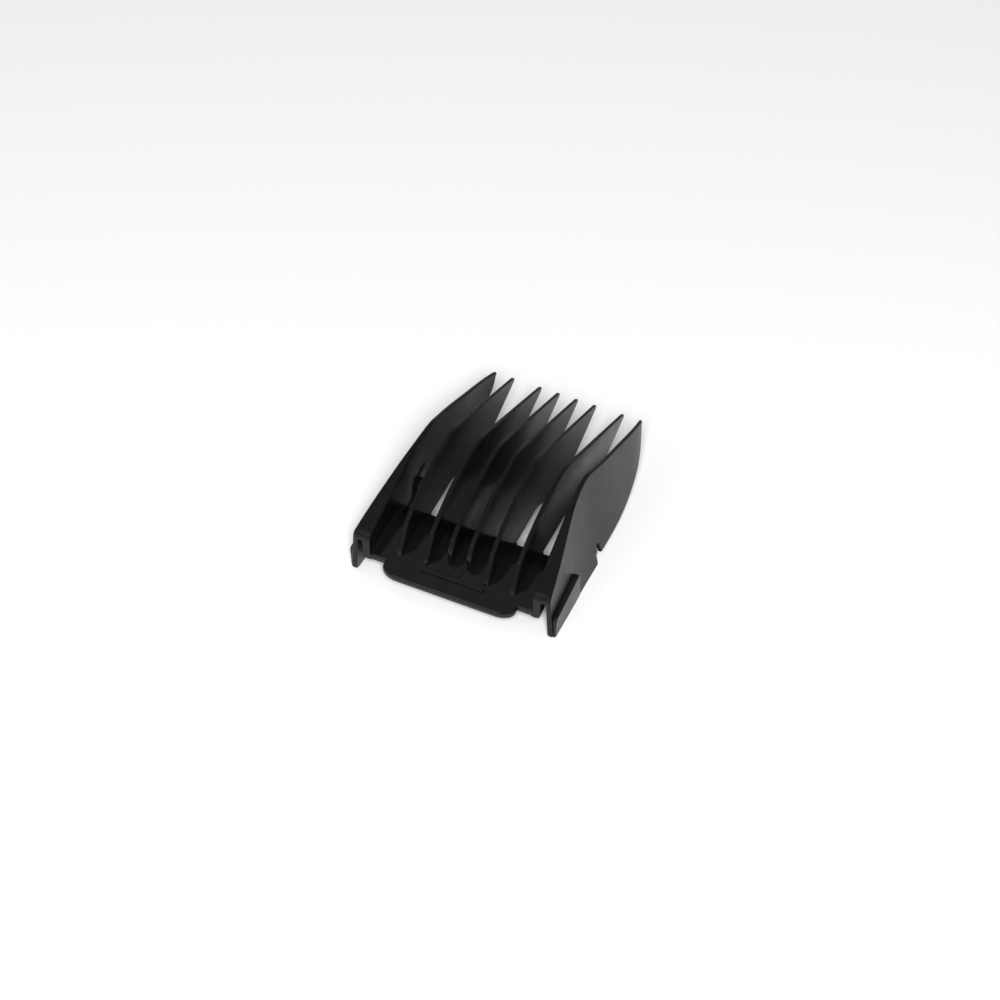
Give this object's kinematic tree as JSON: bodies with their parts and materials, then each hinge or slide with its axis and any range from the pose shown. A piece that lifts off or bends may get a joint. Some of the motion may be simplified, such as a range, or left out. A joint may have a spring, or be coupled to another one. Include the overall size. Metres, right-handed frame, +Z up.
{
  "type": "hair clipper guide comb",
  "caption": "Guide comb for a hair clipper: long blade-like tines fan from a sloped plate between two flared side walls with grip pads and snap hooks.",
  "frame": {"origin": "centre of the bounding box on the plane that the side walls' bottom edges rest on", "axes": "+X across the comb to the right seen from the rear, +Y from the rear tab to the tine tips, +Z up away from the resting plane"},
  "size_m": [0.0516, 0.063, 0.023],
  "materials": {
    "plate_plastic": "glossy moulded black ABS, polished mould face",
    "tine_plastic": "glossy moulded black ABS, polished blades with slightly lighter worn edges",
    "wall_plastic": "glossy moulded black ABS with faint handling scratches",
    "pad_plastic": "semi-gloss moulded black ABS with light wear"
  },
  "bodies": {
    "root": {"base_plate": "plate_plastic", "front_lip": "plate_plastic", "rear_tab": "plate_plastic", "setting_bar": "plate_plastic", "gate_disc": "plate_plastic", "left_side_wall": "wall_plastic", "left_shoulder": "wall_plastic", "left_end_wall": "wall_plastic", "left_grip_pad": "pad_plastic", "left_snap_hook": "wall_plastic", "right_side_wall": "wall_plastic", "right_shoulder": "wall_plastic", "right_end_wall": "wall_plastic", "right_grip_pad": "pad_plastic", "right_snap_hook": "wall_plastic", "tine_1": "tine_plastic", "tine_2": "tine_plastic", "tine_3": "tine_plastic", "tine_4": "tine_plastic", "tine_5": "tine_plastic", "tine_6": "tine_plastic"}
  },
  "joints": []
}
